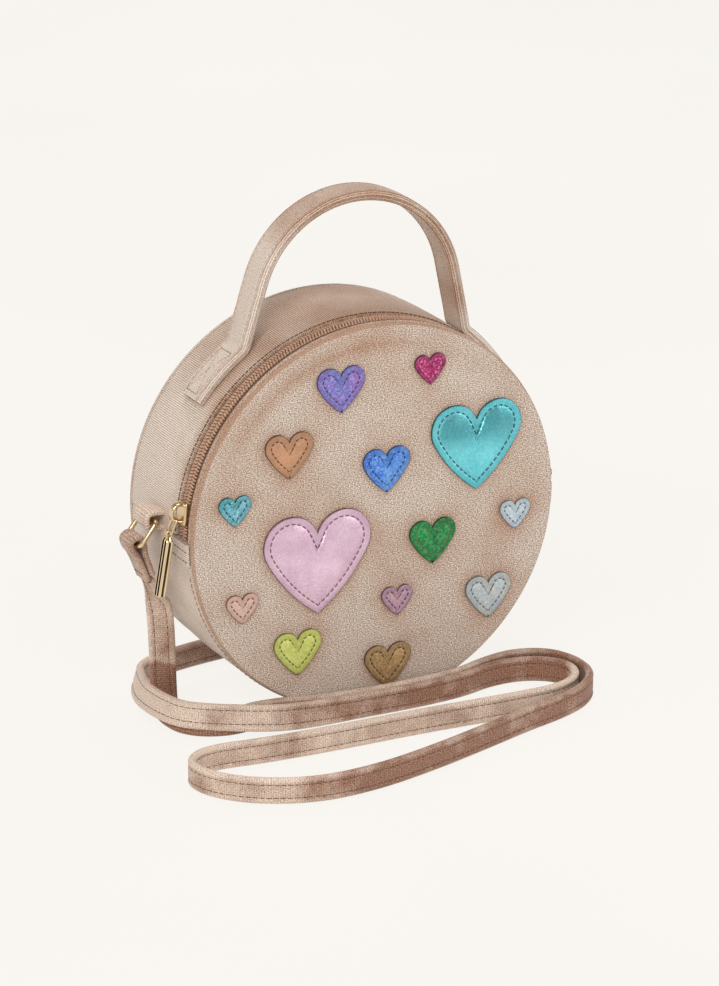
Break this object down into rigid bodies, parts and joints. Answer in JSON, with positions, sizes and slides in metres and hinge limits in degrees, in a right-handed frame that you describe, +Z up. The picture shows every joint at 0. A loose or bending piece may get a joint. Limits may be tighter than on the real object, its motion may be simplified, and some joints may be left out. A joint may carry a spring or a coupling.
{
  "type": "purse",
  "caption": "Round zip-top velvet purse with heart patches, a short carrying handle and a shoulder strap on side rings.",
  "frame": {"origin": "on the floor under the middle of the bag", "axes": "+X to the right of someone facing the front, -Y the front, +Z up"},
  "size_m": [0.2197, 0.1694, 0.2322],
  "materials": {
    "velvet": "shimmer velvet with a short nap",
    "stiffener": "thin plain board",
    "lining": "smooth woven lining",
    "seam_binding": "folded woven tape",
    "zip_tape": "woven tape",
    "zip_teeth": "nylon coil",
    "gold_metal": "polished pale gold plating",
    "patch_purple": "metallic faux leather patch",
    "patch_magenta": "metallic faux leather patch",
    "patch_turquoise": "metallic faux leather patch",
    "patch_copper": "metallic faux leather patch",
    "patch_blue": "metallic faux leather patch",
    "patch_teal": "metallic faux leather patch",
    "patch_pink": "metallic faux leather patch",
    "patch_green": "metallic faux leather patch",
    "patch_silver": "metallic faux leather patch",
    "patch_rose": "metallic faux leather patch",
    "patch_mauve": "metallic faux leather patch",
    "patch_lime": "metallic faux leather patch",
    "patch_bronze": "metallic faux leather patch"
  },
  "bodies": {
    "bag": {"back_panel": "velvet", "back_board": "stiffener", "back_lining": "lining", "back_binding": "seam_binding", "front_panel_lower": "velvet", "front_board_lower": "stiffener", "front_lining_lower": "lining", "front_binding_lower": "seam_binding", "lower_gusset": "velvet", "lower_gusset_board": "stiffener", "lower_gusset_lining": "lining", "rear_zip_gusset": "velvet", "rear_zip_board": "stiffener", "rear_zip_lining": "lining", "zip_tape_rear": "zip_tape", "zip_teeth_rear": "zip_teeth", "zip_tape_end_left": "zip_tape", "zip_tape_end_right": "zip_tape", "zip_teeth_end_left": "zip_teeth", "zip_teeth_end_right": "zip_teeth", "zip_end_tab_left": "velvet", "zip_end_tab_right": "velvet", "strap_tab_left": "velvet", "strap_tab_right": "velvet", "handle_foot_left": "velvet", "handle_foot_right": "velvet", "strap_left_drop": "velvet", "strap_floor_run": "velvet", "strap_right_drop": "velvet", "heart_pink": "patch_pink", "heart_green": "patch_green", "heart_silver_small": "patch_silver", "heart_silver": "patch_silver", "heart_rose": "patch_rose", "heart_mauve": "patch_mauve", "heart_lime": "patch_lime", "heart_bronze": "patch_bronze"},
    "front_flap": {"front_panel_upper": "velvet", "front_board_upper": "stiffener", "front_lining_upper": "lining", "front_binding_upper": "seam_binding", "front_zip_gusset": "velvet", "zip_tape_front": "zip_tape", "zip_teeth_front": "zip_teeth", "heart_purple": "patch_purple", "heart_magenta": "patch_magenta", "heart_turquoise": "patch_turquoise", "heart_copper": "patch_copper", "heart_blue": "patch_blue", "heart_teal": "patch_teal"},
    "zip_slider": {"slider": "gold_metal"},
    "slider_link": {"pull_link": "gold_metal"},
    "slider_pull": {"pull_bar": "gold_metal"},
    "handle": {"handle_upper_layer": "velvet", "handle_under_layer": "velvet"},
    "left_ring": {"ring_left": "gold_metal", "strap_end_left": "velvet"},
    "right_ring": {"ring_right": "gold_metal", "strap_end_right": "velvet"}
  },
  "joints": [
    {"name": "flap_fold", "type": "hinge", "parent": "bag", "child": "front_flap", "pos_m": [0, -0.0331, 0.0908], "axis": [1, 0, 0], "range_deg": [0, 55], "deforming": ["heart_pink"]},
    {"name": "zip_slide", "type": "hinge", "parent": "bag", "child": "zip_slider", "pos_m": [0, -0.0213, 0.0892], "axis": [0, 1, 0], "range_deg": [0, 162]},
    {"name": "pull_link_swing", "type": "hinge", "parent": "zip_slider", "child": "slider_link", "pos_m": [-0.09256, -0.0213, 0.10115], "axis": [0, 1, 0], "range_deg": [-8, 45]},
    {"name": "pull_bar_swing", "type": "hinge", "parent": "slider_link", "child": "slider_pull", "pos_m": [-0.09573, -0.0213, 0.09435], "axis": [0, 1, 0], "range_deg": [-5, 50]},
    {"name": "handle_tilt", "type": "hinge", "parent": "bag", "child": "handle", "pos_m": [0.00449, 0.0014, 0.17495], "axis": [0.9986, 0, -0.0523], "range_deg": [-50, 50], "stiffness_Nm_per_rad": 0.02},
    {"name": "ring_left_swing", "type": "hinge", "parent": "bag", "child": "left_ring", "pos_m": [-0.0948, 0.0014, 0.0945], "axis": [0, 1, 0], "range_deg": [-8, 35], "deforming": ["strap_left_drop"]},
    {"name": "ring_right_swing", "type": "hinge", "parent": "bag", "child": "right_ring", "pos_m": [0.0948, 0.0014, 0.0945], "axis": [0, -1, 0], "range_deg": [-8, 35], "deforming": ["strap_right_drop"]}
  ]
}
